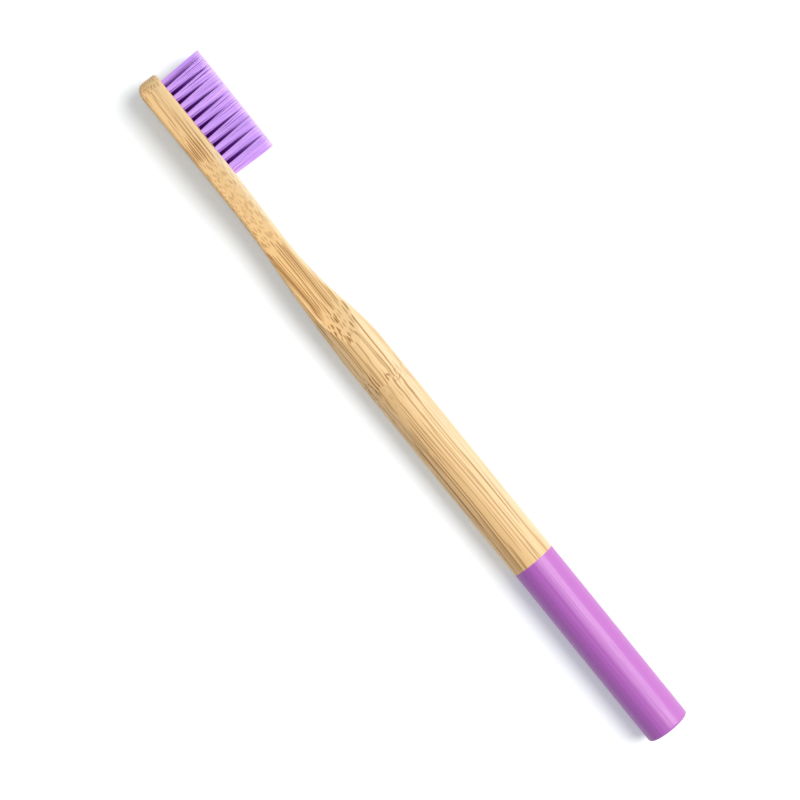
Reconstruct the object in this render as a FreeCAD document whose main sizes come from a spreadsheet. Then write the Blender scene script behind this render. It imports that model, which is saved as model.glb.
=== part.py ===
import FreeCAD, Part
import math
import os
import Sketcher

Vector = FreeCAD.Vector

# A manual toothbrush: a bamboo handle whose rod runs into a milled neck and head, a lacquer
# film dipped over the tail, folded bristle tufts in blind holes, and the flat metal plates
# that pin each tuft's fold at the bottom of its hole.
#
# Every piece is drawn in the same way: x runs from the tip of the head along the rod axis to
# the tail, y points the way the bristles stand, and z runs across the head. The finished brush
# lies on its side, with the origin under the middle of its box.

doc = FreeCAD.newDocument("toothbrush")
sheet = doc.addObject("Spreadsheet::Sheet", "sizes")

SIZES = (
    ("overall_length", 190.0, "tip of the head to the lacquered tail"),
    ("rod_diameter", 10.8, "round bamboo rod"),
    ("tail_round", 0.7, "rounding of the lacquered tail's edge"),
    ("lacquer_length", 50.2, "tail end to the edge of the lacquer"),
    ("lacquer_film", 0.1, "thickness of the lacquer, flush with the bare rod"),
    ("head_width", 10.6, "across the head"),
    ("head_tip_radius", 4.2, "rounding of the head's tip, seen from the bristle side"),
    ("face_height", 2.8, "rod axis to the face that holds the tufts"),
    ("back_height", 3.05, "rod axis to the back of the head"),
    ("tip_lift_length", 3.5, "tip of the head to the start of the flat back"),
    ("tip_lift_radius", 4.5, "curve that lifts the back to the tip"),
    ("edge_round", 0.85, "sanded edges of the head and neck"),
    ("hole_diameter", 1.7, "tuft hole, across its flat sides"),
    ("hole_depth", 3.4, "tuft hole"),
    ("bundle_sides", 10, "flat sides of a hole and of the tuft packed in it"),
    ("column_pitch", 2.3, "between the four columns of holes"),
    ("inner_first", 3.05, "tip of the head to the first hole of an inner column"),
    ("inner_pitch", 2.52, "between the holes of an inner column"),
    ("inner_rows", 11, "holes in an inner column"),
    ("outer_first", 5.35, "tip of the head to the first hole of an outer column"),
    ("outer_pitch", 2.49, "between the holes of an outer column"),
    ("outer_rows", 10, "holes in an outer column"),
    ("face_margin", 0.4, "last inner hole to the end of the flat face"),
    ("taper_lead", 1.5, "start of the head's taper to the last outer hole"),
    ("neck_width", 7.2, "across the waist of the neck"),
    ("neck_taper_length", 22.5, "head's straight sides to the waist"),
    ("waist_length", 15.0, "straight stretch of the waist"),
    ("flare_radius", 40.0, "hollow from the waist to the side facets"),
    ("flare_angle", 10.0, "side facets to the rod axis, degrees"),
    ("neck_lead_radius", 100.0, "roll from the flat face to the neck"),
    ("neck_slope", 1.8, "fall of the neck behind the face, degrees"),
    ("front_blend_radius", 92.5, "both curves that raise the neck's front to the rod"),
    ("front_blend_length", 55.75, "end of the flat face to the end of those curves"),
    ("back_lead", 3.55, "end of the flat face to the end of the flat back"),
    ("back_hollow_length", 19.0, "hollow curve of the neck's back"),
    ("back_crown_length", 45.0, "crowned curve that runs out on the rod's back"),
    ("blend_rise", 0.3, "how far past the rod surface the neck's curves aim"),
    ("bristle_length", 10.9, "face to the trimmed tips"),
    ("tip_gap", 0.12, "least gap between the tips of neighbouring tufts"),
    ("tuft_clearance", 0.03, "tuft root to the wall of its hole"),
    ("plate_thickness", 0.3, "anchor plate"),
    ("plate_height", 1.5, "anchor plate, along the hole"),
    ("plate_bite", 0.25, "how far each end of the plate cuts into the bamboo"),
    ("plate_angle", 45.0, "plate to the grain, degrees"),
    ("fold_height", 0.45, "folded filaments under the plate"),
)
for row, (alias, size, meaning) in enumerate(SIZES, start=1):
    sheet.set("A%d" % row, meaning)
    sheet.set("B%d" % row, str(size))
    sheet.setAlias("B%d" % row, alias)
doc.recompute()

# Lengths that follow from the sheet, as expressions that the features are bound to.
ROD_RADIUS = "(sizes.rod_diameter / 2)"
BAMBOO_LENGTH = "(sizes.overall_length - sizes.lacquer_film)"
RUN_OUT = "(sizes.rod_diameter / 2 + sizes.blend_rise)"
BLANK_WIDTH = "(max(sizes.rod_diameter; sizes.head_width) + 2 * sizes.blend_rise)"
INNER_LAST = "(sizes.inner_first + (sizes.inner_rows - 1) * sizes.inner_pitch)"
OUTER_LAST = "(sizes.outer_first + (sizes.outer_rows - 1) * sizes.outer_pitch)"
FACE_LENGTH = INNER_LAST + " + sizes.hole_diameter / 2 + sizes.face_margin"
FRONT_END = FACE_LENGTH + " + sizes.front_blend_length"
BACK_FLAT = FACE_LENGTH + " + sizes.back_lead"
BACK_MIDDLE = BACK_FLAT + " + sizes.back_hollow_length"
BACK_END = BACK_MIDDLE + " + sizes.back_crown_length"
SIDE_LENGTH = OUTER_LAST + " - sizes.taper_lead"
WAIST_START = SIDE_LENGTH + " + sizes.neck_taper_length"
WAIST_END = WAIST_START + " + sizes.waist_length"
LACQUER_START = "(sizes.overall_length - sizes.lacquer_length)"
LACQUERED_RADIUS = "(sizes.rod_diameter / 2 - sizes.lacquer_film)"
BAMBOO_TAIL_CHAMFER = "(sizes.tail_round - sizes.lacquer_film)"
FLAT_TO_CORNER = "cos(180 deg / sizes.bundle_sides)"
HOLE_CORNERS = "(sizes.hole_diameter / %s)" % FLAT_TO_CORNER
TUFT_ROOT = "((sizes.hole_diameter - 2 * sizes.tuft_clearance) / %s)" % FLAT_TO_CORNER
TUFT_TIP = "(min(sizes.column_pitch; sizes.inner_pitch; sizes.outer_pitch) - sizes.tip_gap)"
PLATE_LENGTH = "(sizes.hole_diameter + 2 * sizes.plate_bite)"
PLATE_FOOT = "(sizes.hole_depth - sizes.fold_height)"

# Where the rod axis and the tip lie once the brush is on its side.
TIP_X = "-sizes.overall_length / 2"
AXIS_Y = "(sizes.rod_diameter / 2 - sizes.face_height - sizes.bristle_length) / 2"
AXIS_Z = ROD_RADIUS


def number(expression):
    """What an expression on the sheet comes to now."""
    return float(sheet.evalExpression(expression))


def bind(sketch, kind, where, expression):
    """Add a dimension to a sketch and tie it to the sheet."""
    size = number(expression)
    formula = expression
    if kind == "Angle":
        size = math.radians(size)
        formula = "(%s) * 1 deg" % expression
    index = sketch.addConstraint(Sketcher.Constraint(kind, *where, size))
    sketch.setExpression("Constraints[%d]" % index, formula)


def bind_point(sketch, link_end, x=None, above=None, below=None):
    """Dimension a point from the sketch's origin."""
    origin = (-1, 1)
    if x is not None:
        bind(sketch, "DistanceX", origin + link_end, x)
    if above is not None:
        bind(sketch, "DistanceY", origin + link_end, above)
    if below is not None:
        bind(sketch, "DistanceY", link_end + origin, below)


class Outline:
    """A closed chain of lines and arcs in one sketch, drawn at its present size."""

    def __init__(self, sketch, x, y):
        self.sketch = sketch
        self.point = Vector(x, y, 0)
        self.links = []

    def add(self, curve, first, last, x, y, smooth):
        geometry = self.sketch.addGeometry(curve, False)
        self.links.append((geometry, first, last, smooth))
        self.point = Vector(x, y, 0)
        return geometry

    def line(self, x, y, smooth=False):
        curve = Part.LineSegment(self.point, Vector(x, y, 0))
        return self.add(curve, 1, 2, x, y, smooth)

    def arc(self, x, y, centre_x, centre_y, left_turn, smooth=True):
        centre = Vector(centre_x, centre_y, 0)
        here = self.point - centre
        there = Vector(x, y, 0) - centre
        begin = math.atan2(here.y, here.x)
        end = math.atan2(there.y, there.x)
        if not left_turn:
            begin, end = end, begin
        if end < begin:
            end += 2 * math.pi
        circle = Part.Circle(centre, Vector(0, 0, 1), here.Length)
        first, last = (1, 2) if left_turn else (2, 1)
        return self.add(Part.ArcOfCircle(circle, begin, end), first, last, x, y, smooth)

    def close(self):
        joins = []
        for before, after in zip(self.links[-1:] + self.links[:-1], self.links):
            kind = "Tangent" if after[3] else "Coincident"
            joins.append(Sketcher.Constraint(kind, before[0], before[2], after[0], after[1]))
        self.sketch.addConstraint(joins)

    def start(self, index):
        return self.links[index][0], self.links[index][1]

    def end(self, index):
        return self.links[index][0], self.links[index][2]

    def keep(self, kind, *indexes):
        """Constrain lines or arcs of the chain without a size."""
        for index in indexes:
            self.sketch.addConstraint(Sketcher.Constraint(kind, self.links[index][0]))


def new_body(label):
    body = doc.addObject("PartDesign::Body", label)
    body.Label = label
    return body


def origin_feature(body, role):
    return next(feature for feature in body.Origin.OriginFeatures if feature.Role == role)


def new_sketch(body, name, role):
    sketch = body.newObject("Sketcher::SketchObject", name)
    sketch.AttachmentSupport = (origin_feature(body, role), [""])
    sketch.MapMode = "FlatFace"
    return sketch


def place(body, x=TIP_X, y=AXIS_Y, z=AXIS_Z, turn="0"):
    """Put a piece where the brush on its side has it, turned about the bristle direction."""
    body.setExpression("Placement", "placement(vector(%s; %s; %s); rotation(vector(0; 1; 0); %s))"
                       % (x, y, z, turn))


def cut(feature, base):
    """Recompute a cutting feature and make sure that it took material from its base."""
    doc.recompute()
    if not feature.Shape.Volume < base.Shape.Volume:
        raise RuntimeError(feature.Label + " cuts nothing")


def draw_side_view(sketch):
    """Outline of the blank from the side: head, neck and an over-high rod."""
    face, back, over = number("sizes.face_height"), number("sizes.back_height"), number(RUN_OUT)
    lift_length, lift_radius = number("sizes.tip_lift_length"), number("sizes.tip_lift_radius")
    lift_height = lift_radius - math.sqrt(lift_radius ** 2 - lift_length ** 2)
    face_end, tail = number(FACE_LENGTH), number(BAMBOO_LENGTH)
    lead, slope = number("sizes.neck_lead_radius"), math.radians(number("sizes.neck_slope"))
    radius, front_end = number("sizes.front_blend_radius"), number(FRONT_END)

    # The sloping neck ends where two equal arcs, tangent to it, to each other and to the
    # rod's front, fit.
    along = Vector(math.cos(slope), -math.sin(slope), 0)
    upward = Vector(math.sin(slope), math.cos(slope), 0)
    neck_start = Vector(face_end, face - lead, 0) + upward * lead
    crown_centre = Vector(front_end, over - radius, 0)
    gap = neck_start + upward * radius - crown_centre
    neck_length = -gap.dot(along) - math.sqrt(gap.dot(along) ** 2 - gap.dot(gap) + 4 * radius ** 2)
    neck_end = neck_start + along * neck_length
    hollow_centre = neck_end + upward * radius
    front_middle = (hollow_centre + crown_centre) * 0.5

    # The back's two arcs share one slope where they meet.
    flat, middle, end = number(BACK_FLAT), number(BACK_MIDDLE), number(BACK_END)
    lean = 2 * math.atan((over - back) / (end - flat))
    hollow = (middle - flat) / math.sin(lean)
    crown = (end - middle) / math.sin(lean)
    back_middle = -back - hollow * (1 - math.cos(lean))

    chain = Outline(sketch, 0, lift_height - back)
    tip = chain.line(0, face)
    chain.line(face_end, face)
    lead_arc = chain.arc(neck_start.x, neck_start.y, face_end, face - lead, False)
    neck = chain.line(neck_end.x, neck_end.y, True)
    front_hollow = chain.arc(front_middle.x, front_middle.y, hollow_centre.x, hollow_centre.y, True)
    front_crown = chain.arc(front_end, over, crown_centre.x, crown_centre.y, False)
    chain.line(tail, over, True)
    chain.line(tail, -over)
    chain.line(end, -over)
    chain.arc(middle, back_middle, end, -over + crown, False)
    chain.arc(flat, -back, flat, -back - hollow, True)
    chain.line(lift_length, -back, True)
    tip_lift = chain.arc(0, lift_height - back, lift_length, lift_radius - back, False)
    chain.close()

    sketch.addConstraint(Sketcher.Constraint("PointOnObject", tip, 1, -2))
    chain.keep("Vertical", 0, 7)
    chain.keep("Horizontal", 1, 6, 8, 11)
    sketch.addConstraint(Sketcher.Constraint("Equal", front_hollow, front_crown))
    bind_point(sketch, chain.start(1), above="sizes.face_height")
    bind_point(sketch, chain.end(1), x=FACE_LENGTH)
    bind(sketch, "Radius", (lead_arc,), "sizes.neck_lead_radius")
    bind(sketch, "Angle", (neck,), "-sizes.neck_slope")
    bind(sketch, "Radius", (front_hollow,), "sizes.front_blend_radius")
    bind_point(sketch, chain.end(5), x=FRONT_END, above=RUN_OUT)
    bind_point(sketch, chain.end(6), x=BAMBOO_LENGTH)
    bind_point(sketch, chain.end(8), x=BACK_END, below=RUN_OUT)
    bind_point(sketch, chain.end(9), x=BACK_MIDDLE)
    bind_point(sketch, chain.end(10), x=BACK_FLAT, below="sizes.back_height")
    bind_point(sketch, chain.end(11), x="sizes.tip_lift_length")
    bind(sketch, "Radius", (tip_lift,), "sizes.tip_lift_radius")


def draw_plan_waste(sketch):
    """What is milled off one side of the blank, seen from the bristle side."""
    head, neck = number("sizes.head_width / 2"), number("sizes.neck_width / 2")
    tip_radius, wide = number("sizes.head_tip_radius"), number(BLANK_WIDTH)
    side_end, waist_start, waist_end = number(SIDE_LENGTH), number(WAIST_START), number(WAIST_END)
    flare_radius, flare = number("sizes.flare_radius"), math.radians(number("sizes.flare_angle"))

    # The taper is two equal arcs that meet half-way between the head and the waist.
    run, drop = waist_start - side_end, head - neck
    taper_radius = (run ** 2 + drop ** 2) / (4 * drop)
    flare_x = waist_end + flare_radius * math.sin(flare)
    flare_z = neck + flare_radius * (1 - math.cos(flare))

    chain = Outline(sketch, -tip_radius, head - tip_radius)
    chain.line(0, head - tip_radius)
    tip = chain.arc(tip_radius, head, tip_radius, head - tip_radius, False, smooth=False)
    chain.line(side_end, head, True)
    convex = chain.arc(side_end + run / 2, head - drop / 2, side_end, head - taper_radius, False)
    concave = chain.arc(waist_start, neck, waist_start, neck + taper_radius, True)
    chain.line(waist_end, neck, True)
    flare_arc = chain.arc(flare_x, flare_z, waist_end, neck + flare_radius, True)
    facet = chain.line(flare_x + (wide - flare_z) / math.tan(flare), wide, True)
    chain.line(-tip_radius, wide)
    chain.line(-tip_radius, head - tip_radius)
    chain.close()

    chain.keep("Horizontal", 0, 2, 5, 8)
    chain.keep("Vertical", 9)
    sketch.addConstraint(Sketcher.Constraint("PointOnObject", *chain.start(1), -2))
    sketch.addConstraint(Sketcher.Constraint("Horizontal", *chain.start(1), tip, 3))
    sketch.addConstraint(Sketcher.Constraint("Equal", convex, concave))
    bind(sketch, "Radius", (tip,), "sizes.head_tip_radius")
    bind(sketch, "DistanceX", chain.start(0) + chain.end(0), "sizes.head_tip_radius")
    bind_point(sketch, chain.end(1), above="sizes.head_width / 2")
    bind_point(sketch, chain.end(2), x=SIDE_LENGTH)
    bind_point(sketch, chain.end(4), x=WAIST_START, above="sizes.neck_width / 2")
    bind_point(sketch, chain.end(5), x=WAIST_END)
    bind(sketch, "Radius", (flare_arc,), "sizes.flare_radius")
    bind(sketch, "Angle", (facet,), "sizes.flare_angle")
    bind_point(sketch, chain.end(7), above=BLANK_WIDTH)


def draw_rounding(sketch):
    """What the rounding cutter takes off outside the rod, with a chamfered seat for the lacquer."""
    radius, seat, chamfer = number(ROD_RADIUS), number(LACQUERED_RADIUS), number(BAMBOO_TAIL_CHAMFER)
    begin, step, tail = number(WAIST_START), number(LACQUER_START), number(BAMBOO_LENGTH)
    wide = number(BLANK_WIDTH)

    chain = Outline(sketch, begin, radius)
    chain.line(step, radius)
    chain.line(step, seat)
    chain.line(tail - chamfer, seat)
    chain.line(tail, seat - chamfer)
    chain.line(tail + chamfer, seat - chamfer)
    chain.line(tail + chamfer, wide)
    chain.line(begin, wide)
    chain.line(begin, radius)
    chain.close()

    chain.keep("Horizontal", 0, 2, 4, 6)
    chain.keep("Vertical", 1, 5, 7)
    bind_point(sketch, chain.start(0), x=WAIST_START, above=ROD_RADIUS)
    bind_point(sketch, chain.end(1), x=LACQUER_START, above=LACQUERED_RADIUS)
    bind_point(sketch, chain.end(3), x=BAMBOO_LENGTH)
    bind(sketch, "DistanceX", chain.start(3) + chain.end(3), BAMBOO_TAIL_CHAMFER)
    bind(sketch, "DistanceY", chain.end(3) + chain.start(3), BAMBOO_TAIL_CHAMFER)
    bind(sketch, "DistanceX", chain.start(4) + chain.end(4), BAMBOO_TAIL_CHAMFER)
    bind_point(sketch, chain.end(6), above=BLANK_WIDTH)


# The milled sides have no slope towards the front or back, and every front or back has this much.
FACING = 0.5


def edges_to_sand(shape):
    """Names of the edges between the blank's milled sides and its front or back."""
    names = []
    tail = number(BAMBOO_LENGTH)
    for index, edge in enumerate(shape.Edges, start=1):
        middle = edge.valueAt((edge.FirstParameter + edge.LastParameter) / 2)
        normals = []
        for face in shape.ancestorsOfType(edge, Part.Face):
            normals.append(face.normalAt(*face.Surface.parameter(middle)))
        across = [abs(normal.y) > FACING for normal in normals]
        if across.count(True) == 1 and middle.x < tail - number(ROD_RADIUS):
            names.append("Edge%d" % index)
    return names


def lift(sketch, height):
    """Move a plan sketch along the bristle direction."""
    sketch.setExpression("AttachmentOffset.Base.z", "-(%s)" % height)


def draw_bundle_section(sketch, middle, corner_circle, turn):
    """A regular polygon in the circle through its corners, with one flat side square to its turn."""
    sides = round(number("sizes.bundle_sides"))
    half_side = math.pi / sides
    radius = number(corner_circle) / 2
    corners = []
    for index in range(sides):
        angle = math.radians(number(turn)) + (2 * index - 1) * half_side
        corners.append(middle + Vector(math.cos(angle), math.sin(angle), 0) * radius)
    circle = sketch.addGeometry(Part.Circle(middle, Vector(0, 0, 1), radius), True)
    chain = Outline(sketch, corners[0].x, corners[0].y)
    lines = [chain.line(corner.x, corner.y) for corner in corners[1:] + corners[:1]]
    chain.close()
    sketch.addConstraint([Sketcher.Constraint("PointOnObject", line, 1, circle) for line in lines])
    sketch.addConstraint([Sketcher.Constraint("Equal", lines[0], line) for line in lines[1:]])
    bind(sketch, "Diameter", (circle,), corner_circle)
    bind(sketch, "Angle", (lines[0],), turn + " + 90")
    return circle


def bind_across(sketch, centre, first, side, sign):
    """Place the centre of a hole or slit of a column, on either side of the head's middle."""
    if sign > 0:
        bind_point(sketch, centre, x=first, above=side)
    else:
        bind_point(sketch, centre, x=first, below=side)


def draw_hole_pair(sketch, first, side):
    """The first hole of a column and of the same column across the middle of the head."""
    for sign in (1, -1):
        middle = Vector(number(first), sign * number(side), 0)
        circle = draw_bundle_section(sketch, middle, HOLE_CORNERS, "sizes.plate_angle")
        bind_across(sketch, (circle, 3), first, side, sign)


def draw_slit_pair(sketch, first, side):
    """The slits that the first two plates cut, each across its hole at the plate's angle."""
    turn = math.radians(number("sizes.plate_angle"))
    half_along = Vector(math.cos(turn), math.sin(turn), 0) * (number(PLATE_LENGTH) / 2)
    half_across = Vector(-math.sin(turn), math.cos(turn), 0) * (number("sizes.plate_thickness") / 2)
    for sign in (1, -1):
        middle = Vector(number(first), sign * number(side), 0)
        corners = (middle - half_along - half_across, middle + half_along - half_across,
                   middle + half_along + half_across, middle - half_along + half_across)
        chain = Outline(sketch, corners[0].x, corners[0].y)
        lines = [chain.line(corner.x, corner.y) for corner in corners[1:] + corners[:1]]
        chain.close()
        centre = sketch.addGeometry(Part.Point(middle), True)
        for before, after in zip(lines, lines[1:]):
            sketch.addConstraint(Sketcher.Constraint("Perpendicular", before, after))
        sketch.addConstraint(Sketcher.Constraint("Symmetric", lines[0], 1, lines[2], 1, centre, 1))
        bind(sketch, "Angle", (lines[0],), "sizes.plate_angle")
        bind(sketch, "Distance", (lines[0],), PLATE_LENGTH)
        bind(sketch, "Distance", (lines[1],), "sizes.plate_thickness")
        bind_across(sketch, (centre, 1), first, side, sign)


def sink(body, name, draw, first, side, depth):
    """Cut a pair of pockets into the tuft face, one on each side of the head's middle."""
    base = body.Tip
    sketch = new_sketch(body, name + "_sketch", "XZ_Plane")
    lift(sketch, "sizes.face_height")
    draw(sketch, first, side)
    pocket = body.newObject("PartDesign::Pocket", name)
    pocket.Profile = sketch
    pocket.Reversed = True
    pocket.setExpression("Length", depth)
    cut(pocket, base)
    return pocket


def repeat(body, name, pockets, pitch, rows):
    """Repeat pockets along the head."""
    base = body.Tip
    pattern = body.newObject("PartDesign::LinearPattern", name)
    pattern.Originals = pockets
    pattern.Direction = (origin_feature(body, "X_Axis"), [""])
    pattern.Mode = "Spacing"
    pattern.setExpression("Offset", pitch)
    pattern.setExpression("Occurrences", rows)
    body.Tip = pattern
    cut(pattern, base)


INNER_COLUMN = ("sizes.inner_first", "sizes.column_pitch / 2", "sizes.inner_pitch", "sizes.inner_rows")
OUTER_COLUMN = ("sizes.outer_first", "sizes.column_pitch * 1.5", "sizes.outer_pitch", "sizes.outer_rows")


def make_handle():
    """The bamboo handle, planed, milled, sanded, rounded and drilled from one blank."""
    body = new_body("handle")
    side_view = new_sketch(body, "side_view", "XY_Plane")
    draw_side_view(side_view)
    blank = body.newObject("PartDesign::Pad", "blank")
    blank.Profile = side_view
    blank.SideType = "Symmetric"
    blank.setExpression("Length", BLANK_WIDTH)
    doc.recompute()

    plan_waste = new_sketch(body, "plan_waste", "XZ_Plane")
    draw_plan_waste(plan_waste)
    milled_side = body.newObject("PartDesign::Pocket", "milled_side")
    milled_side.Profile = plan_waste
    milled_side.SideType = "Symmetric"
    milled_side.Type = "ThroughAll"
    cut(milled_side, blank)
    other_side = body.newObject("PartDesign::Mirrored", "milled_other_side")
    other_side.Originals = [milled_side]
    other_side.MirrorPlane = (origin_feature(body, "XY_Plane"), [""])
    body.Tip = other_side
    cut(other_side, milled_side)

    sanded = body.newObject("PartDesign::Fillet", "sanded_edges")
    sanded.Base = (other_side, edges_to_sand(other_side.Shape))
    sanded.setExpression("Radius", "sizes.edge_round")
    cut(sanded, other_side)

    rounding = new_sketch(body, "rounding", "XY_Plane")
    draw_rounding(rounding)
    rod = body.newObject("PartDesign::Groove", "rounded_rod")
    rod.Profile = rounding
    rod.ReferenceAxis = (origin_feature(body, "X_Axis"), [""])
    rod.Angle = 360
    cut(rod, sanded)

    columns = []
    for name, (first, side, pitch, rows) in (("inner", INNER_COLUMN), ("outer", OUTER_COLUMN)):
        holes = sink(body, name + "_holes", draw_hole_pair, first, side, "sizes.hole_depth")
        slits = sink(body, name + "_slits", draw_slit_pair, first, side, PLATE_FOOT)
        columns.append((name + "_rows", [holes, slits], pitch, rows))
    for column in columns:
        repeat(body, *column)
    place(body)
    return body


def make_lacquer_dip():
    """The lacquer film, a thin cup over the tail that fills out its chamfer to a round edge."""
    radius, seat, chamfer = number(ROD_RADIUS), number(LACQUERED_RADIUS), number(BAMBOO_TAIL_CHAMFER)
    begin, bamboo, tail = number(LACQUER_START), number(BAMBOO_LENGTH), number("sizes.overall_length")
    corner_x, corner_y = tail - number("sizes.tail_round"), radius - number("sizes.tail_round")

    body = new_body("lacquer_dip")
    sketch = new_sketch(body, "film_section", "XY_Plane")
    chain = Outline(sketch, begin, seat)
    chain.line(bamboo - chamfer, seat)
    chain.line(bamboo, seat - chamfer)
    chain.line(bamboo, 0)
    chain.line(tail, 0)
    chain.line(tail, corner_y)
    outer = chain.arc(corner_x, radius, corner_x, corner_y, True)
    chain.line(begin, radius, True)
    chain.line(begin, seat)
    chain.close()

    chain.keep("Horizontal", 0, 6)
    chain.keep("Vertical", 2, 4, 7)
    sketch.addConstraint(Sketcher.Constraint("PointOnObject", *chain.start(3), -1))
    sketch.addConstraint(Sketcher.Constraint("PointOnObject", *chain.end(3), -1))
    bind(sketch, "Radius", (outer,), "sizes.tail_round")
    bind(sketch, "DistanceX", chain.start(1) + chain.end(1), BAMBOO_TAIL_CHAMFER)
    bind(sketch, "DistanceY", chain.end(1) + chain.start(1), BAMBOO_TAIL_CHAMFER)
    bind_point(sketch, chain.start(0), x=LACQUER_START, above=LACQUERED_RADIUS)
    bind_point(sketch, chain.start(3), x=BAMBOO_LENGTH)
    bind_point(sketch, chain.end(3), x="sizes.overall_length")
    bind_point(sketch, chain.end(6), above=ROD_RADIUS)

    film_cup = body.newObject("PartDesign::Revolution", "film_cup")
    film_cup.Profile = sketch
    film_cup.ReferenceAxis = (origin_feature(body, "X_Axis"), [""])
    film_cup.Angle = 360
    doc.recompute()
    place(body)
    return body


def make_tuft_shape():
    """A folded bundle of filaments, packed in its hole and spreading to its tips."""
    body = new_body("tuft_shape")
    sections = []
    for name, height, corner_circle in (("foot", "-sizes.hole_depth", TUFT_ROOT), ("mouth", "0", TUFT_ROOT),
                                        ("tips", "sizes.bristle_length", TUFT_TIP)):
        sketch = new_sketch(body, "tuft_" + name, "XZ_Plane")
        lift(sketch, height)
        circle = draw_bundle_section(sketch, Vector(0, 0, 0), corner_circle, "0")
        sketch.addConstraint(Sketcher.Constraint("Coincident", circle, 3, -1, 1))
        sections.append(sketch)
    bundle = body.newObject("PartDesign::AdditiveLoft", "tuft_bundle")
    bundle.Profile = sections[0]
    bundle.Sections = sections[1:]
    bundle.Ruled = True
    doc.recompute()

    # The two legs of the fold pass either side of the anchor plate.
    wide, foot = number("sizes.hole_diameter"), number(PLATE_FOOT)
    top = foot - number("sizes.plate_height")
    sketch = new_sketch(body, "fold_slot", "XY_Plane")
    chain = Outline(sketch, -wide, -foot)
    chain.line(wide, -foot)
    chain.line(wide, -top)
    chain.line(-wide, -top)
    chain.line(-wide, -foot)
    chain.close()
    chain.keep("Horizontal", 2)
    chain.keep("Vertical", 1, 3)
    sketch.addConstraint(Sketcher.Constraint("Symmetric", *chain.start(0), *chain.end(0), -2))
    bind(sketch, "DistanceX", chain.start(0) + chain.end(0), "2 * sizes.hole_diameter")
    bind_point(sketch, chain.end(0), below=PLATE_FOOT)
    bind_point(sketch, chain.end(1), below=PLATE_FOOT + " - sizes.plate_height")
    fold = body.newObject("PartDesign::Pocket", "tuft_fold")
    fold.Profile = sketch
    fold.SideType = "Symmetric"
    fold.setExpression("Length", "sizes.plate_thickness")
    cut(fold, bundle)
    return body


def make_tuft(label, tuft_shape, x, z):
    """One tuft in its hole, its fold square to the plate."""
    body = new_body(label)
    bundle = body.newObject("PartDesign::FeatureBase", label + "_bundle")
    bundle.BaseFeature = tuft_shape
    place(body, x, AXIS_Y + " + sizes.face_height", z, "-sizes.plate_angle")
    return body


def make_plate(label, x, z):
    """One anchor plate, standing on the fold of its tuft."""
    plate = doc.addObject("Part::Box", label)
    plate.setExpression("Length", PLATE_LENGTH)
    plate.setExpression("Width", "sizes.plate_height")
    plate.setExpression("Height", "sizes.plate_thickness")
    mouth = ("placement(vector(%s; %s + sizes.face_height; %s);"
             " rotation(vector(0; 1; 0); -sizes.plate_angle))" % (x, AXIS_Y, z))
    centred = ("placement(vector(-%s / 2; -%s; -sizes.plate_thickness / 2); rotation(vector(0; 1; 0); 0))"
               % (PLATE_LENGTH, PLATE_FOOT))
    plate.setExpression("Placement", mouth + " * " + centred)
    return plate


def hole_places():
    """Label, x and z of every hole, column by column from one side of the head to the other."""
    columns = (("a", OUTER_COLUMN, "+"), ("b", INNER_COLUMN, "+"),
               ("c", INNER_COLUMN, "-"), ("d", OUTER_COLUMN, "-"))
    for letter, (first, side, pitch, rows), sign in columns:
        for row in range(round(number(rows))):
            x = "%s + %s + %d * %s" % (TIP_X, first, row, pitch)
            z = "%s %s %s" % (AXIS_Z, sign, side)
            yield "%s%02d" % (letter, row + 1), x, z


sub_parts = [make_handle(), make_lacquer_dip()]
tuft_shape = make_tuft_shape()
plates = []
for hole, x, z in hole_places():
    sub_parts.append(make_tuft("tuft_" + hole, tuft_shape, x, z))
    plates.append(make_plate("plate_" + hole, x, z))
anchor_plates = doc.addObject("Part::Compound", "anchor_plates")
anchor_plates.Label = "anchor_plates"
anchor_plates.Links = plates
sub_parts.append(anchor_plates)
doc.recompute()

failed = [thing.Label for thing in doc.Objects if "Invalid" in thing.State or "Error" in thing.State]
if failed:
    raise RuntimeError("failed: " + ", ".join(failed))
for piece in sub_parts:
    if piece.Shape.isNull() or not piece.Shape.isValid():
        raise RuntimeError("no valid shape: " + piece.Label)

os.makedirs("parts", exist_ok=True)
for piece in sub_parts:
    piece.Shape.exportStep(os.path.join("parts", piece.Label + ".step"))
    if not piece.Label.startswith("tuft_"):
        print("%-14s %9.2f mm3, %d solids" % (piece.Label, piece.Shape.Volume, len(piece.Shape.Solids)))
print("%d sub-parts" % len(sub_parts))
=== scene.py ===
# %% [markdown]
# # A bamboo toothbrush
# The brush is a round bamboo rod that runs into a milled neck and head. Forty-two tufts of nylon
# filaments stand in the head, and the tail is dipped in lacquer. The frame that is loaded here
# holds every solid at its true size and place, in metres: x runs from the head to the tail, y is
# the way the bristles point, and z is up from the table. The lesson gives these solids their
# finishes and swaps the plain tufts for real filaments.

# %% Load the frame
import math
import random

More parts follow.
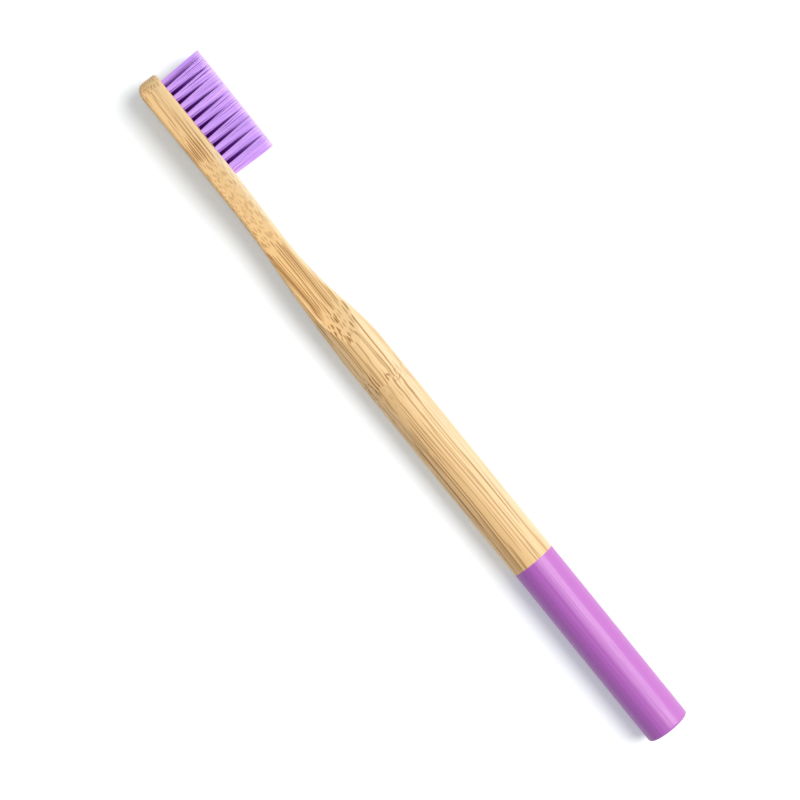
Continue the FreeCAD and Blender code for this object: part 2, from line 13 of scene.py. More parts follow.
import bmesh
import bpy
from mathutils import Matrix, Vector


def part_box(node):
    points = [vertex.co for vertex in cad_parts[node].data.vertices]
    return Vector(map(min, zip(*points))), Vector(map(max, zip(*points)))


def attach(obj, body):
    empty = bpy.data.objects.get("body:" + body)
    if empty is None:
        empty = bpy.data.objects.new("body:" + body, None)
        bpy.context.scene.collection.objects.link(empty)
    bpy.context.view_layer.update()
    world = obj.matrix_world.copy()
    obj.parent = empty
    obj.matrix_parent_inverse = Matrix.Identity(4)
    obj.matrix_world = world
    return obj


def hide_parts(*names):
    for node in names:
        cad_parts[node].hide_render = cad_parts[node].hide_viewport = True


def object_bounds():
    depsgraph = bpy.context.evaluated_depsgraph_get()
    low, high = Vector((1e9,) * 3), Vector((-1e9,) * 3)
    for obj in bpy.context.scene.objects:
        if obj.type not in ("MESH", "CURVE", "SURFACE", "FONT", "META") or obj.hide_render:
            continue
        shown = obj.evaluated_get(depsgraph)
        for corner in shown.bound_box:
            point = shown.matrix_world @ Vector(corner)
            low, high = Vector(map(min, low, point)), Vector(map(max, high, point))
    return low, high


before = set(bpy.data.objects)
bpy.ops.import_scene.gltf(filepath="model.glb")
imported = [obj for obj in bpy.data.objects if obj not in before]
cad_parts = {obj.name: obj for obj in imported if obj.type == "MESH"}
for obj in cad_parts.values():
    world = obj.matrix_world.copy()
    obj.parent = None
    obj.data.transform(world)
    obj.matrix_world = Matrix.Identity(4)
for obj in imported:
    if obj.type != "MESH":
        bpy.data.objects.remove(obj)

scene = bpy.context.scene
cad_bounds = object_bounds()
MM = 0.001
print("frame:", len(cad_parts), "nodes, box", [list(corner) for corner in cad_bounds])

# %% [markdown]
# Every finish below is a small network of shader nodes. Adding a node, setting it up and joining
# it to the ones before it is always the same work, so one helper does it. Values that are sockets
# are joined, and anything else is written into the input. The rest are the steps that most
# networks share. A soft step takes where it starts, where it ends, and its values before and
# after, and many constants further down are such rows of four.

# %% Helpers for shader nodes
NOISE_MIDDLE = 0.5


def add_node(tree, kind, inputs=None, **settings):
    made = tree.nodes.new("ShaderNode" + kind)
    for name, setting in settings.items():
        setattr(made, name, setting)
    for key, given in (inputs or {}).items():
        if isinstance(given, bpy.types.NodeSocket):
            tree.links.new(given, made.inputs[key])
        else:
            made.inputs[key].default_value = given
    return made


def calc(tree, operation, *values):
    return add_node(tree, "Math", dict(enumerate(values)), operation=operation).outputs[0]


def gap(tree, value, other):
    """How far two values are apart, either way."""
    return calc(tree, "ABSOLUTE", calc(tree, "SUBTRACT", value, other))


def ramp(tree, value, start, end, low=0.0, high=1.0):
    """A soft step from low to high."""
    inputs = {"Value": value, "From Min": start, "From Max": end, "To Min": low, "To Max": high}
    return add_node(tree, "MapRange", inputs, interpolation_type="SMOOTHSTEP").outputs["Result"]


def blend(tree, factor, first, second):
    """A colour between two others."""
    # Inputs 6 and 7 and output 2 of a Mix node are its colours.
    return add_node(tree, "Mix", {0: factor, 6: first, 7: second}, data_type="RGBA").outputs[2]


def place_in_mm(tree, origin=(0, 0, 0)):
    """The piece's own coordinates, in millimetres from an origin."""
    place = add_node(tree, "TexCoord").outputs["Object"]
    inputs = {"Vector": place, "Scale": (1 / MM, 1 / MM, 1 / MM), "Location": [-part for part in origin]}
    return add_node(tree, "Mapping", inputs).outputs[0]


def noise(tree, place, fineness, detail, output="Fac"):
    """A noise that is finer along some axes than along others."""
    stretched = add_node(tree, "Mapping", {"Vector": place, "Scale": fineness}).outputs[0]
    inputs = {"Vector": stretched, "Scale": 1.0, "Detail": detail}
    return add_node(tree, "TexNoise", inputs).outputs[output]


def parts(tree, vector):
    return add_node(tree, "SeparateXYZ", {0: vector}).outputs


print("helpers ready")

# %% [markdown]
# A material starts from a Principled shader. A value that is the same all over a surface is set on
# the shader's own socket. Solids of the frame keep their shape and only get a finish.

# %% Helpers for materials


def new_material(name, constants):
    """A material with a Principled shader, and the values that are the same all over it."""
    material = bpy.data.materials.new(name)
    material.use_nodes = True
    shader = material.node_tree.nodes["Principled BSDF"]
    for socket, given in constants.items():
        shader.inputs[socket].default_value = given
    return material, material.node_tree, shader


def dress(node_name, material):
    """Give a solid of the frame its finish."""
    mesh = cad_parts[node_name].data
    mesh.materials.clear()
    mesh.materials.append(material)
    print(node_name, "in", material.name, "with", len(mesh.polygons), "faces")


print("material helpers ready")

# %% [markdown]
# Bamboo is straight-grained: dark bundles of fibre run along the culm in a pale ground. Cut along
# the grain they show as long lines, on a slope as dashes, and on the end as dots. A picture
# wrapped round the handle would miss that, so the bundles are a solid pattern in the piece's own
# coordinates, in millimetres from the rod's axis. First come the paths of the fibres. They wander
# slowly along the rod and wobble at a joint of the culm. In the neck they run at a slant, so the
# milled sides cut them short.

# %% Paths of the fibres
AXIS_Y, AXIS_Z = -4.15, 5.4
JOINT_X, JOINT_UNEVEN = -7.0, 9.0
NEAR_JOINT = (0.0, 11.0, 1.0, 0.0)
SLOW, QUICK = (0.018, 0.14, 0.14), (0.17, 0.36, 0.36)
WANDER, WOBBLE_Y, WOBBLE_Z = 2.4, 2.4, 0.7
SLANT = (-74.0, -44.0, -2.5, 4.5)


def swings(tree, in_mm, fineness):
    """Three noises about zero, one for each axis."""
    colour = noise(tree, in_mm, fineness, detail=1.0, output="Color")
    return [calc(tree, "SUBTRACT", part, NOISE_MIDDLE) for part in parts(tree, colour)]


def fibre_paths(tree, in_mm):
    """Where fibres cross the rod, and how far they are along it from the uneven joint."""
    x, y, z = parts(tree, in_mm)
    from_joint = calc(tree, "SUBTRACT", x, JOINT_X)
    near_joint = ramp(tree, calc(tree, "ABSOLUTE", from_joint), *NEAR_JOINT)
    wander, wobble = swings(tree, in_mm, SLOW), swings(tree, in_mm, QUICK)
    moved = []
    for across, axis, most in ((y, 1, WOBBLE_Y), (z, 2, WOBBLE_Z)):
        drift = calc(tree, "MULTIPLY_ADD", wander[axis], WANDER, across)
        wobble_here = calc(tree, "MULTIPLY", near_joint, most)
        moved.append(calc(tree, "MULTIPLY_ADD", wobble[axis], wobble_here, drift))
    path_z = calc(tree, "ADD", moved[1], ramp(tree, x, *SLANT))
    past_joint = calc(tree, "MULTIPLY_ADD", wobble[0], JOINT_UNEVEN, from_joint)
    return moved[0], path_z, past_joint


print("paths of the fibres: joint at", JOINT_X, "mm, slant from", SLANT[0], "to", SLANT[1], "mm")

# %% [markdown]
# Across the rod the bundles are the cells of a Voronoi texture. A logarithmic map sets the cells
# closer towards the back of the brush, because bundles crowd towards the skin of the culm. Behind
# the joint the pattern starts afresh. The lines are faint along the front, in the neck and on the
# head.

# %% Bundles of fibre
CULM_SKIN_Y = -11.0
BUNDLES_PER_RADIAN, PATTERN_SHIFT, JOINT_SHIFT = 28.0, 9.0, 31.3
SCATTER = 0.9
BUNDLE_SIZE, BUNDLE_EDGE = (0.0, 1.0, 0.20, 0.42), (0.8, 1.0, 1.0, 0.0)
BUNDLE_DARKNESS = (0.0, 1.0, 0.5, 1.0)
FAR_FROM_SKIN = 0.8
FAINT_FRONT = (2.0, 5.0, 1.0, 0.5)
NECK_X, FAINT_NECK = -59.0, (8.0, 17.0, 0.5, 1.0)
FAINT_HEAD = (-82.0, -74.0, 0.65, 1.0)


def fibre_bundles(tree, in_mm, skin, path_y, path_z, past_joint):
    """Up to 1 in a dark bundle, and 0 in the ground."""
    # Log-polar map about a line outside the culm's skin: the cells grow away from it.
    from_skin = calc(tree, "SUBTRACT", path_y, CULM_SKIN_Y)
    flat = add_node(tree, "CombineXYZ", {0: from_skin, 1: path_z}).outputs[0]
    reach = add_node(tree, "VectorMath", {0: flat}, operation="LENGTH").outputs["Value"]
    across = calc(tree, "MULTIPLY", calc(tree, "LOGARITHM", reach, math.e), BUNDLES_PER_RADIAN)
    around = calc(tree, "MULTIPLY", calc(tree, "ARCTAN2", path_z, from_skin), BUNDLES_PER_RADIAN)
    afresh = calc(tree, "GREATER_THAN", past_joint, 0.0)
    across = calc(tree, "ADD", calc(tree, "MULTIPLY_ADD", afresh, JOINT_SHIFT, across), PATTERN_SHIFT)
    cells = add_node(tree, "CombineXYZ", {0: across, 1: around}).outputs[0]
    inputs = {"Vector": cells, "Scale": 1.0, "Randomness": SCATTER}
    voronoi = add_node(tree, "TexVoronoi", inputs, voronoi_dimensions="2D").outputs

    chance = parts(tree, voronoi["Color"])
    off_centre = calc(tree, "DIVIDE", voronoi["Distance"], ramp(tree, chance[0], *BUNDLE_SIZE))
    bundles = ramp(tree, off_centre, *BUNDLE_EDGE)
    x, y = parts(tree, in_mm)[:2]
    for share in (ramp(tree, chance[1], *BUNDLE_DARKNESS),
                  calc(tree, "MULTIPLY_ADD", skin, 1 - FAR_FROM_SKIN, FAR_FROM_SKIN),
                  ramp(tree, y, *FAINT_FRONT), ramp(tree, gap(tree, x, NECK_X), *FAINT_NECK),
                  ramp(tree, x, *FAINT_HEAD)):
        bundles = calc(tree, "MULTIPLY", bundles, share)
    return bundles


print("bundles of fibre:", BUNDLES_PER_RADIAN, "to a radian")

# %% [markdown]
# In the joint itself there are thin dark hooks, which are the contour lines of a noise, broken up
# by another. The sanded front edge of the neck is paler than its side, a painted highlight where
# the rounded edge catches the lamp. It rises to the rod with the front of the neck.

# %% Hooks in the joint and the painted highlight on the edge of the neck
IN_JOINT = (0.4, 1.9, 1.0, 0.0)
KNOTS, BREAKS = (0.7, 0.7, 0.7), (0.8, 0.8, 0.8)
HOOK_LINE, HOOK_BREAK = (0.012, 0.035, 1.0, 0.0), (0.43, 0.50)
EDGE_Y = (-43.0, -14.0, 1.48, 5.2)
EDGE_START, EDGE_HIGHLIGHT = (-76.0, -70.0), (-0.2, 0.2, 0.0, 0.45)


def joint_hooks(tree, in_mm, past_joint):
    from_line = gap(tree, noise(tree, in_mm, KNOTS, detail=0.5), NOISE_MIDDLE)
    whole = ramp(tree, noise(tree, in_mm, BREAKS, detail=2.0), *HOOK_BREAK)
    line = calc(tree, "MULTIPLY", ramp(tree, from_line, *HOOK_LINE), whole)
    return calc(tree, "MULTIPLY", line, ramp(tree, calc(tree, "ABSOLUTE", past_joint), *IN_JOINT))


# A painted highlight along the front edge of the neck.
def painted_edge_highlight(tree, x, y):
    above = calc(tree, "SUBTRACT", y, ramp(tree, x, *EDGE_Y))
    return calc(tree, "MULTIPLY", ramp(tree, above, *EDGE_HIGHLIGHT), ramp(tree, x, *EDGE_START))


print("hooks and pale edge ready")

# %% [markdown]
# The ground is straw, browner towards the skin and golden in the waist of the neck. Along the lit
# front it is paler, partly the paler wood there and partly painted light, and along the back it is
# lighter, which is painted light thrown up from the table. Broad streaks of tone and fine hairs vary
# it, and the bundles lie over it. The same wood lies under the lacquer, so the pattern and its colour
# are one node group.

# %% The wood as a node group
# The pale colour is partly the paler wood of the front and partly painted highlight.
PALE_WOOD_AND_HIGHLIGHT = (0.80, 0.68, 0.49, 1)
STRAW = (0.725, 0.54, 0.302, 1)
SKIN = (0.80, 0.515, 0.236, 1)
# This colour is painted light thrown up from the table onto the back of the rod.
PAINTED_TABLE_BOUNCE = (0.90, 0.64, 0.36, 1)
HONEY = (0.68, 0.42, 0.175, 1)
GOLD = (0.80, 0.495, 0.195, 1)
FIBRE = (0.25, 0.085, 0.007, 1)
HOOK = (0.27, 0.11, 0.03, 1)
# The second ramp gives the paler lit front, partly painted light; the third the lighter back, painted
# table light.
TO_SKIN, PALE_AND_LIT_FRONT, BOUNCE_ON_BACK = (-5.0, 5.0, 1.0, 0.0), (2.2, 5.6), (-5.4, -2.0, 1.0, 0.0)
WAIST_X, GOLDEN_WAIST = -40.0, (6.0, 24.0, 0.45, 0.0)
BROAD, FINE = (0.012, 0.32, 0.32), (0.16, 6.0, 6.0)
TONE_SHARE, HAIR_SHARE = (0.40, 0.75, 0.0, 0.6), (0.50, 0.75, 0.0, 0.35)


def grain_group():
    tree = bpy.data.node_groups.new("bamboo_grain", "ShaderNodeTree")
    for name, kind in (("Wood", "Color"), ("Bundles", "Float"), ("Tone", "Float"), ("Hairs", "Float")):
        tree.interface.new_socket(name=name, in_out="OUTPUT", socket_type="NodeSocket" + kind)
    in_mm = place_in_mm(tree, (0, AXIS_Y, AXIS_Z))
    x, y = parts(tree, in_mm)[:2]
    path_y, path_z, past_joint = fibre_paths(tree, in_mm)
    skin = ramp(tree, y, *TO_SKIN)
    bundles = fibre_bundles(tree, in_mm, skin, path_y, path_z, past_joint)
    tone = noise(tree, in_mm, BROAD, detail=2.0)
    hairs = noise(tree, in_mm, FINE, detail=3.0)

    wood = blend(tree, skin, STRAW, SKIN)
    # Paler along the lit front (partly painted light), lighter along the back (painted light from the
    # table), and a painted highlight on the neck's edge.
    for share, colour in ((ramp(tree, y, *PALE_AND_LIT_FRONT), PALE_WOOD_AND_HIGHLIGHT), (ramp(tree, y, *BOUNCE_ON_BACK), PAINTED_TABLE_BOUNCE),
                          (ramp(tree, gap(tree, x, WAIST_X), *GOLDEN_WAIST), GOLD),
                          (ramp(tree, tone, *TONE_SHARE), HONEY),
                          (ramp(tree, hairs, *HAIR_SHARE), HONEY),
                          (bundles, FIBRE), (joint_hooks(tree, in_mm, past_joint), HOOK),
                          (painted_edge_highlight(tree, x, y), PALE_WOOD_AND_HIGHLIGHT)):
        wood = blend(tree, share, wood, colour)
    out = tree.nodes.new("NodeGroupOutput")
    for socket, value in zip(out.inputs, (wood, bundles, tone, hairs)):
        tree.links.new(value, socket)
    return tree


bamboo_grain = grain_group()
print("grain group:", len(bamboo_grain.nodes), "nodes")

# %% [markdown]
# The bare bamboo is sanded and lightly waxed: pale straw, browner where the bundles are, with a
# dull sheen. The bundles are a little harder than the ground, so they stand up under sandpaper by
# a few hundredths of a millimetre, which a bump gives.

# %% Bare bamboo
BARE_GLOSS = 0.2
BARE_ROUGHNESS = (0.3, 0.7, 0.55, 0.70)
HAIR_RELIEF = 0.3
RELIEF, RELIEF_STRENGTH = 0.03 * MM, 0.4


def bamboo_material():
    material, tree, shader = new_material("bamboo", {"Specular IOR Level": BARE_GLOSS})
    grain = add_node(tree, "Group", node_tree=bamboo_grain).outputs
    tree.links.new(grain["Wood"], shader.inputs["Base Color"])
    tree.links.new(ramp(tree, grain["Hairs"], *BARE_ROUGHNESS), shader.inputs["Roughness"])
    relief = calc(tree, "MULTIPLY_ADD", grain["Hairs"], HAIR_RELIEF, grain["Bundles"])
    bump = add_node(tree, "Bump", {"Height": relief, "Strength": RELIEF_STRENGTH, "Distance": RELIEF})
    tree.links.new(bump.outputs[0], shader.inputs["Normal"])
    return material


dress("handle", bamboo_material())

# %% [markdown]
# The tail is dipped in a thin satin lacquer. It follows the ridges of the wood, so its sheen breaks
# up into long streaks. Along the back, which is the shaded side, its colour is deepened as painted
# shade. Its first millimetre is too thin to cover: the wood shows through up to a line that is a
# little askew, because the rod wasn't dipped quite upright. A clear coat gives the soft bright band
# along it.

# %% Lacquer
LACQUER = (0.447, 0.134, 0.465, 1)
# The deep colour is painted shade on the back of the lacquer.
LACQUER_PAINTED_SHADE = (0.33, 0.072, 0.40, 1)
COVER_X, COVER_EDGE, ASKEW = 45.75, 0.07, 0.02
# The painted shade comes in towards the back, in patches that follow the tone of the wood.
PATCHES, SHADE_TOWARDS_BACK = (0.35, 0.65, -0.9, 0.9), (-9.0, 0.0, 1.0, 0.0)
FILM_GLOSS, SATIN, BARE_EXTRA_ROUGHNESS = 0.5, (0.3, 0.7, 0.36, 0.50), 0.2
COAT, COAT_ROUGHNESS = 0.12, 0.35
RIDGES, RIDGE_HEIGHT, RIDGE_STRENGTH = (0.010, 1.3, 1.3), 0.22 * MM, 0.6


def lacquer_material():
    material, tree, shader = new_material("lacquer", {"Coat Roughness": COAT_ROUGHNESS})
    grain = add_node(tree, "Group", node_tree=bamboo_grain).outputs
    in_mm = place_in_mm(tree)
    x, y = parts(tree, in_mm)[:2]
    patches = ramp(tree, grain["Tone"], *PATCHES)
    # Painted shade: the lacquer is darker towards the back of the brush.
    shade_at_back = ramp(tree, calc(tree, "SUBTRACT", y, patches), *SHADE_TOWARDS_BACK)
    film = blend(tree, shade_at_back, LACQUER, LACQUER_PAINTED_SHADE)
    edge_x = calc(tree, "MULTIPLY_ADD", y, ASKEW, x)
    covered = ramp(tree, edge_x, COVER_X - COVER_EDGE, COVER_X + COVER_EDGE)
    satin = ramp(tree, grain["Hairs"], *SATIN)
    bare = calc(tree, "SUBTRACT", 1.0, covered)
    ridges = noise(tree, in_mm, RIDGES, detail=2.0)
    inputs = {"Height": ridges, "Strength": RIDGE_STRENGTH, "Distance": RIDGE_HEIGHT}
    bump = add_node(tree, "Bump", inputs)
    for value, socket in ((blend(tree, covered, grain["Wood"], film), "Base Color"),
                          (ramp(tree, covered, 0.0, 1.0, BARE_GLOSS, FILM_GLOSS), "Specular IOR Level"),
                          (calc(tree, "MULTIPLY", covered, COAT), "Coat Weight"),
                          (calc(tree, "MULTIPLY_ADD", bare, BARE_EXTRA_ROUGHNESS, satin), "Roughness"),
                          (bump.outputs[0], "Normal")):
        tree.links.new(value, shader.inputs[socket])
    return material


dress("lacquer_dip", lacquer_material())

# %% [markdown]
# A strip of brass pins each tuft at the bottom of its hole. The strips are hidden once the tufts
# are in, but they are part of the brush, so they get a rolled finish: fine scratches along the
# strip that vary its gloss.

# %% Anchor plates
BRASS_DARK = (0.62, 0.45, 0.19, 1)
BRASS_BRIGHT = (0.80, 0.63, 0.32, 1)
SCRATCHES, SCRATCH_ROUGHNESS = (0.9, 9.0, 0.9), (0.3, 0.7, 0.25, 0.45)


def anchor_material():
    material, tree, shader = new_material("rolled_brass", {"Metallic": 1.0})
    scratches = noise(tree, place_in_mm(tree), SCRATCHES, detail=2.0)
    tree.links.new(blend(tree, scratches, BRASS_DARK, BRASS_BRIGHT), shader.inputs["Base Color"])
    tree.links.new(ramp(tree, scratches, *SCRATCH_ROUGHNESS), shader.inputs["Roughness"])
    return material


dress("anchor_plates", anchor_material())

# %% [markdown]
# A tuft is about two dozen nylon filaments, each folded once under its anchor plate, so that both
# of its ends stand up as bristles. One folded filament is a six-sided tube of a dozen rings. It is
# made once, as a straight ladder of rings: a circle is extruded a step at a time, and the height
# of a vertex says which ring it belongs to. Every filament of every tuft is then a copy whose
# rings are laid along its own path.

# %% One filament as a ladder of rings
RING_SIDES = 6
RINGS = 12


def ring_ladder():
    tube = bmesh.new()
    bmesh.ops.create_circle(tube, cap_ends=True, segments=RING_SIDES, radius=1.0)
    rim = list(tube.edges)
    for step in range(RINGS - 1):
        made = bmesh.ops.extrude_edge_only(tube, edges=rim)["geom"]
        raised = [part for part in made if isinstance(part, bmesh.types.BMVert)]
        rim = [part for part in made if isinstance(part, bmesh.types.BMEdge)
               and all(vert in raised for vert in part.verts)]
        bmesh.ops.translate(tube, verts=raised, vec=(0, 0, 1))
    bmesh.ops.edgeloop_fill(tube, edges=rim)
    bmesh.ops.recalc_face_normals(tube, faces=tube.faces)
    ladder = bpy.data.meshes.new("filament_ladder")
    tube.to_mesh(ladder)
    tube.free()
    return ladder


ladder = ring_ladder()
ladder_rows = [(round(vert.co.z), vert.co.x, vert.co.y) for vert in ladder.vertices]
print("one filament:", len(ladder.polygons), "faces")

# %% [markdown]
# Inside its hole a tuft is packed tight, in rows either side of the plate. This cell finds where
# each filament passes the plate.

# %% Rows of filaments at the plate
PACKED_RADIUS = 0.77 * MM
ROWS_FROM_PLATE = (0.25 * MM, 0.42 * MM, 0.59 * MM, 0.72 * MM)
SPACING = 0.19 * MM


def fold_places():
    """Where each filament passes the plate: along it, and how far from it on both sides."""
    for off in ROWS_FROM_PLATE:
        half = math.sqrt(PACKED_RADIUS ** 2 - off ** 2)
        count = int(2 * half / SPACING) + 1
        for index in range(count):
            yield (index - (count - 1) / 2) * SPACING, off


folds = list(fold_places())
print("filaments in a tuft:", len(folds), "folded,", 2 * len(folds), "ends")

# %% [markdown]
# Above the face a tuft spreads, more along the head than across it, until neighbouring tufts touch
# at the tips. The tips are trimmed to one plane and rounded. A tuft leans a little as a whole, and
# some part into two clumps. No two filaments lean quite alike, and a few stray into the gap next
# to them. A seeded generator keeps every run the same.

# %% Path of a filament
FILAMENT_RADIUS = 0.095 * MM
HOLE_DEPTH = 3.4 * MM
PLATE_FOOT = 2.95 * MM
CLOSING, CLOSED_WIDTH = 0.16 * MM, 1.28
SPREAD_ALONG, SPREAD_ACROSS = 1.50, 1.40
SWAY, LEAN, BOW = 0.07 * MM, 0.05 * MM, 0.03 * MM
SPLIT_SHARE, SPLIT_PLACE, PARTING = 0.45, 0.4 * MM, (0.07 * MM, 0.17 * MM)
STRAY_SHARE, STRAY = 0.03, 0.3 * MM
TRIM_UNEVEN, TIP_ROUND = 0.035 * MM, 0.09 * MM
HALF_WAY = 0.5
ALONG_PLATE = Vector((1, 0, 1)).normalized()
ACROSS_PLATE = Vector((-1, 0, 1)).normalized()


def sideways(chance, usual):
    """A chance move in the plane of the head's face."""
    return Vector((chance.gauss(0, usual), 0, chance.gauss(0, usual)))


def tuft_habit(chance):
    """How a whole tuft leans, where it parts into clumps, and how far these move apart."""
    sway = sideways(chance, SWAY)
    cut = chance.uniform(-SPLIT_PLACE, SPLIT_PLACE)
    parting = chance.uniform(*PARTING) if chance.random() < SPLIT_SHARE else 0.0
    return sway, cut, parting


def leg(mouth, tip_y, along, off, side, habit, chance):
    """Ring centres of one leg, from the tip down into the fold."""
    packed = ALONG_PLATE * along + ACROSS_PLATE * (side * off)
    closed = ALONG_PLATE * along + ACROSS_PLATE * (side * (off - CLOSING) * CLOSED_WIDTH)
    spread = Vector((closed.x * SPREAD_ALONG, 0, closed.z * SPREAD_ACROSS))
    sway, cut, parting = habit
    lean = sway + sideways(chance, LEAN)
    lean.x += math.copysign(parting, closed.x - cut)
    if chance.random() < STRAY_SHARE:
        lean.x += chance.uniform(-STRAY, STRAY)
    bow = sideways(chance, BOW)
    height = tip_y - mouth.y + chance.gauss(0, TRIM_UNEVEN)
    tip = mouth + spread + lean + Vector((0, height, 0))
    middle = mouth + closed.lerp(spread + lean, HALF_WAY) + bow + Vector((0, height * HALF_WAY, 0))
    towards = (middle - tip).normalized()
    foot = mouth + packed - Vector((0, PLATE_FOOT, 0))
    turn = (HOLE_DEPTH - PLATE_FOOT - FILAMENT_RADIUS) * off / PACKED_RADIUS
    bend = foot - ACROSS_PLATE * (side * off * HALF_WAY) - Vector((0, turn, 0))
    return [tip, tip + towards * TIP_ROUND, middle, mouth + packed, foot, bend]


print("paths of the filaments ready")

# %% [markdown]
# The nylon is dyed right through. Two attributes on the points of the filaments vary it: each
# filament has its own small difference of tone, and the other says how deep in the block of
# bristles a point lies. Deeper in the block the colour is darkened and the gloss lowered, as
# painted shade for the gaps between tufts, which lie in shadow. The tips are paler than the rest,
# partly the frosting of the ground nylon and partly painted highlight where they face the lamp.

# %% Nylon
NYLON = (0.73, 0.44, 0.98, 1)
NYLON_STRONG = (0.66, 0.37, 0.95, 1)
# These two colours are painted shade for the gaps between the tufts.
NYLON_HALF_PAINTED_SHADE = (0.25, 0.060, 0.52, 1)
NYLON_PAINTED_SHADE = (0.10, 0.008, 0.21, 1)
# The tip colour is partly the frosting of ground nylon and partly painted highlight.
NYLON_TIP_FROST_AND_HIGHLIGHT = (0.84, 0.66, 0.98, 1)
NYLON_ROUGHNESS = 0.4
TIP_FROST_AND_HIGHLIGHT = (7.6 * MM, 9.4 * MM, 0.0, 0.7)
# The ramps of the painted shade inside the block, which also dims the gloss there.
HALF_SHADE_RAMP, FULL_SHADE_RAMP, SHADE_DIMS_GLOSS = (0.0, 0.75), (0.45, 1.0), (0.0, 1.0, 0.28, 0.0)


def nylon_material():
    material, tree, shader = new_material("dyed_nylon", {"Roughness": NYLON_ROUGHNESS})
    tone = add_node(tree, "Attribute", attribute_name="tone").outputs["Fac"]
    dyed = blend(tree, tone, NYLON, NYLON_STRONG)
    height = parts(tree, add_node(tree, "TexCoord").outputs["Object"])[1]
    # The tips pale towards their ends: partly frosted nylon, partly painted highlight where they face
    # the lamp.
    ground = blend(tree, ramp(tree, height, *TIP_FROST_AND_HIGHLIGHT), dyed, NYLON_TIP_FROST_AND_HIGHLIGHT)
    # Painted shade: darker and less glossy deeper in the block of bristles, where the gaps lie in
    # shadow.
    painted_shade = add_node(tree, "Attribute", attribute_name="painted_shade").outputs["Fac"]
    half_shaded = blend(tree, ramp(tree, painted_shade, *HALF_SHADE_RAMP), ground, NYLON_HALF_PAINTED_SHADE)
    shaded = blend(tree, ramp(tree, painted_shade, *FULL_SHADE_RAMP), half_shaded, NYLON_PAINTED_SHADE)
    tree.links.new(shaded, shader.inputs["Base Color"])
    tree.links.new(ramp(tree, painted_shade, *SHADE_DIMS_GLOSS), shader.inputs["Specular IOR Level"])
    return material


nylon = nylon_material()
print("nylon ready")

# %% [markdown]
# The attributes are filled as a filament is laid. The block of bristles is measured from the boxes
# of the solids. Light enters it from the tips, the ends and the sides, so a point is as deep as the
# nearest of these is far.

# %% Laying a filament
RING_RADII = (0.5, 1, 1, 1, 1, 1)
LIT_DEPTH, DARK_DEPTH = 0.2 * MM, 1.5 * MM
DARKEST = 0.97
LIGHT_FROM_TIPS, LIGHT_FROM_ENDS = 0.16, 0.5
tuft_names = sorted(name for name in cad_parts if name.startswith("tuft_"))
tuft_corners = [Vector(corner) for name in tuft_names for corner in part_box(name)]
block_low, block_high = (Vector(pick(corner[axis] for corner in tuft_corners) for axis in range(3))
                         for pick in (min, max))


def painted_shade_in_block(point):
    """Painted shade: 0 on the outside of the block of bristles, and up to DARKEST inside."""
    from_ends = min(point.x - block_low.x, block_high.x - point.x) * LIGHT_FROM_ENDS
    from_sides = min(point.z - block_low.z, block_high.z - point.z)
    inside = min(from_ends, from_sides, (block_high.y - point.y) * LIGHT_FROM_TIPS)
    share = min(max((inside - LIT_DEPTH) / (DARK_DEPTH - LIT_DEPTH), 0.0), 1.0)
    return DARKEST * share * share * (3 - 2 * share)


def lay_filament(tuft, tone_layer, painted_shade_layer, centres, tone):
    """Copies the ladder into the tuft and moves its rings onto a path."""
    first = len(tuft.verts)
    tuft.from_mesh(ladder)
    tuft.verts.ensure_lookup_table()
    radii = RING_RADII + RING_RADII[::-1]
    sides = []
    for index in range(RINGS):
        ahead = centres[min(index + 1, RINGS - 1)] - centres[max(index - 1, 0)]
        sides.append(ahead.cross(ALONG_PLATE).normalized())
    for vert, (ring, right, up) in zip(tuft.verts[first:], ladder_rows):
        reach = FILAMENT_RADIUS * radii[ring]
        vert.co = centres[ring] + (ALONG_PLATE * right + sides[ring] * up) * reach
        vert[tone_layer] = tone
        # The painted shade of this point, by how deep it lies in the block.
        vert[painted_shade_layer] = painted_shade_in_block(vert.co)


print("block of bristles:", [round(side / MM, 1) for side in block_high - block_low], "mm")

# %% [markdown]
# Each tuft becomes one piece that stands for the solid of the same name. The solid's own box says
# where the hole is and how high the tips stand, so nothing is measured twice. The trimmed face
# falls a little from the tip of the head to the neck.

# %% Forty-two tufts
SEED = 11
HEAD_MIDDLE, TRIM_FALL = cad_bounds[0][0] + 14.5 * MM, 0.011


def make_tuft(node_name, chance):
    low, high = (Vector(corner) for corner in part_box(node_name))
    middle = (low + high) / 2
    mouth = Vector((middle.x, low.y + HOLE_DEPTH, middle.z))
    tip_y = high.y - (middle.x - HEAD_MIDDLE) * TRIM_FALL
    tuft = bmesh.new()
    tone_layer = tuft.verts.layers.float.new("tone")
    # This layer holds the painted shade of each point.
    painted_shade_layer = tuft.verts.layers.float.new("painted_shade")
    habit = tuft_habit(chance)
    for along, off in folds:
        there = leg(mouth, tip_y, along, off, 1, habit, chance)
        back = leg(mouth, tip_y, along, off, -1, habit, chance)
        lay_filament(tuft, tone_layer, painted_shade_layer, there + back[::-1], chance.random())
    bmesh.ops.recalc_face_normals(tuft, faces=tuft.faces)
    for face in tuft.faces:
        face.smooth = True
    mesh = bpy.data.meshes.new(node_name + "_filaments")
    tuft.to_mesh(mesh)
    tuft.free()
    piece = bpy.data.objects.new(node_name + "_filaments", mesh)
    scene.collection.objects.link(piece)
    mesh.materials.append(nylon)
    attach(piece, "root")
    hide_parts(node_name)
    return piece


chance = random.Random(SEED)
tufts = [make_tuft(name, chance) for name in tuft_names]
print("tufts:", len(tufts), "with", sum(len(piece.data.polygons) for piece in tufts), "faces")

# %% [markdown]
# The brush lies on a plain white table. The table is a flat sheet that keeps the shadow. It adds a
# little of its own light for the camera and for reflections only, so that it shows as white
# without any more light falling on the brush.

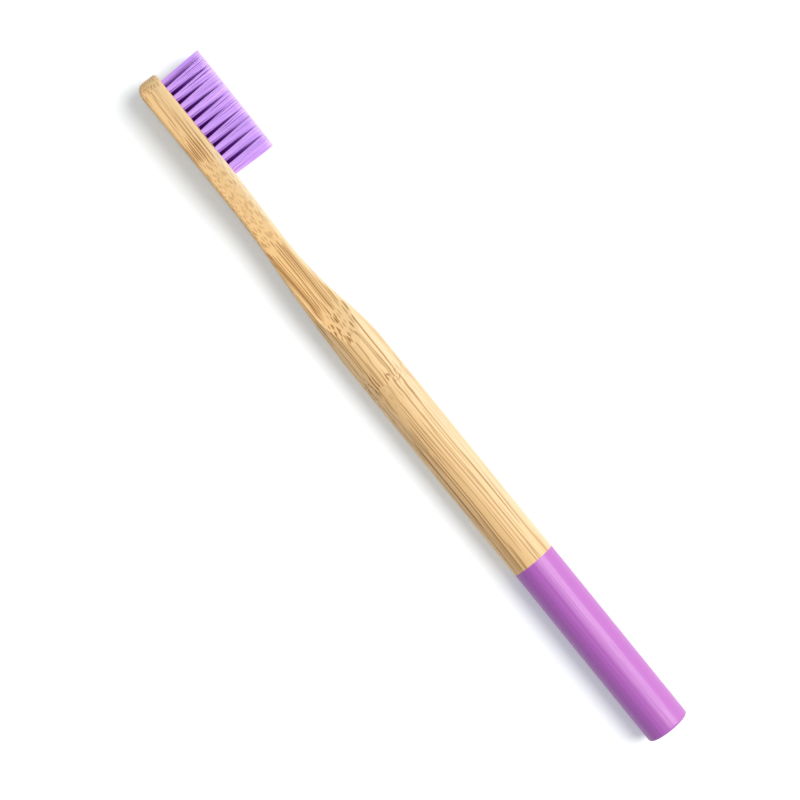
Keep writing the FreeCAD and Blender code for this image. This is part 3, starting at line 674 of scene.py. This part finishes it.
# %% White table
TABLE_SIZE = 6.0
TABLE_PAINT = (0.92, 0.92, 0.92, 1)
TABLE_GLOW = 0.21
GLOW_TINT = (0.86, 1.02, 1.10, 1)


def seen_directly(tree):
    """1 for rays from the camera, and for mirrored or refracted ones."""
    path = add_node(tree, "LightPath").outputs
    seen = calc(tree, "MAXIMUM", path["Is Camera Ray"], path["Is Glossy Ray"])
    return calc(tree, "MAXIMUM", seen, path["Is Transmission Ray"])


def make_table():
    sheet = bmesh.new()
    bmesh.ops.create_grid(sheet, x_segments=1, y_segments=1, size=TABLE_SIZE / 2)
    mesh = bpy.data.meshes.new("table")
    sheet.to_mesh(mesh)
    sheet.free()
    table = bpy.data.objects.new("table", mesh)
    scene.collection.objects.link(table)
    material = bpy.data.materials.new("white_table")
    material.use_nodes = True
    tree = material.node_tree
    tree.nodes.remove(tree.nodes["Principled BSDF"])
    paint = add_node(tree, "BsdfDiffuse", {"Color": TABLE_PAINT}).outputs[0]
    glow_strength = calc(tree, "MULTIPLY", seen_directly(tree), TABLE_GLOW)
    glow = add_node(tree, "Emission", {"Color": GLOW_TINT, "Strength": glow_strength}).outputs[0]
    both = add_node(tree, "AddShader", {0: paint, 1: glow}).outputs[0]
    tree.links.new(both, tree.nodes["Material Output"].inputs["Surface"])
    mesh.materials.append(material)


make_table()
print("table", TABLE_SIZE, "m wide")

# %% [markdown]
# The light is that of a small product studio: a large soft lamp on the bristle side, well up, and
# even white all round. The lamp throws the soft shadow along the back of the brush. Together they
# light a level surface so that a colour shows about as it is written.

# %% Light
LAMP_PLACE = Vector((0.16, 0.43, 0.67))
LAMP_SIZE = 0.60
LAMP_POWER = 7.0
SURROUND = 0.42
WHITE = (1, 1, 1, 1)


def make_lamp():
    lamp = bpy.data.lights.new("soft_lamp", "AREA")
    lamp.shape = "DISK"
    lamp.size = LAMP_SIZE
    lamp.energy = LAMP_POWER
    holder = bpy.data.objects.new("soft_lamp", lamp)
    holder.location = LAMP_PLACE
    holder.rotation_euler = (-LAMP_PLACE).to_track_quat("-Z", "Y").to_euler()
    scene.collection.objects.link(holder)


def make_surround():
    """White when seen, and a dimmer white as light."""
    world = bpy.data.worlds.new("studio")
    world.use_nodes = True
    scene.world = world
    tree = world.node_tree
    strength = calc(tree, "MULTIPLY_ADD", seen_directly(tree), 1.0 - SURROUND, SURROUND)
    background = tree.nodes["Background"]
    background.inputs["Color"].default_value = WHITE
    tree.links.new(strength, background.inputs["Strength"])


make_lamp()
make_surround()
print("lamp", LAMP_POWER, "W, surround", SURROUND)

# %% [markdown]
# The photographer stood over the brush and looked straight down, with the head at the upper left.
# The camera hangs above the table, turned about the vertical. Its lens is worked out from the
# width that the picture covers at the height of the rod.

# %% Camera
SENSOR_WIDTH = 36.0
VIEW_WIDTH = 183.1 * MM
CAMERA_HEIGHT = 470 * MM
VIEW_CENTRE = (-1.89 * MM, -4.75 * MM)
CAMERA_TURN = math.radians(50.97)


def make_camera():
    optics = bpy.data.cameras.new("overhead")
    optics.sensor_width = SENSOR_WIDTH
    optics.lens = SENSOR_WIDTH * CAMERA_HEIGHT / VIEW_WIDTH
    camera = bpy.data.objects.new("overhead", optics)
    camera.location = (*VIEW_CENTRE, CAMERA_HEIGHT + AXIS_Z * MM)
    camera.rotation_euler = (0, 0, CAMERA_TURN)
    scene.collection.objects.link(camera)
    scene.camera = camera
    return optics


optics = make_camera()
scene.view_settings.view_transform = "Standard"
print("lens", round(optics.lens, 1), "mm")
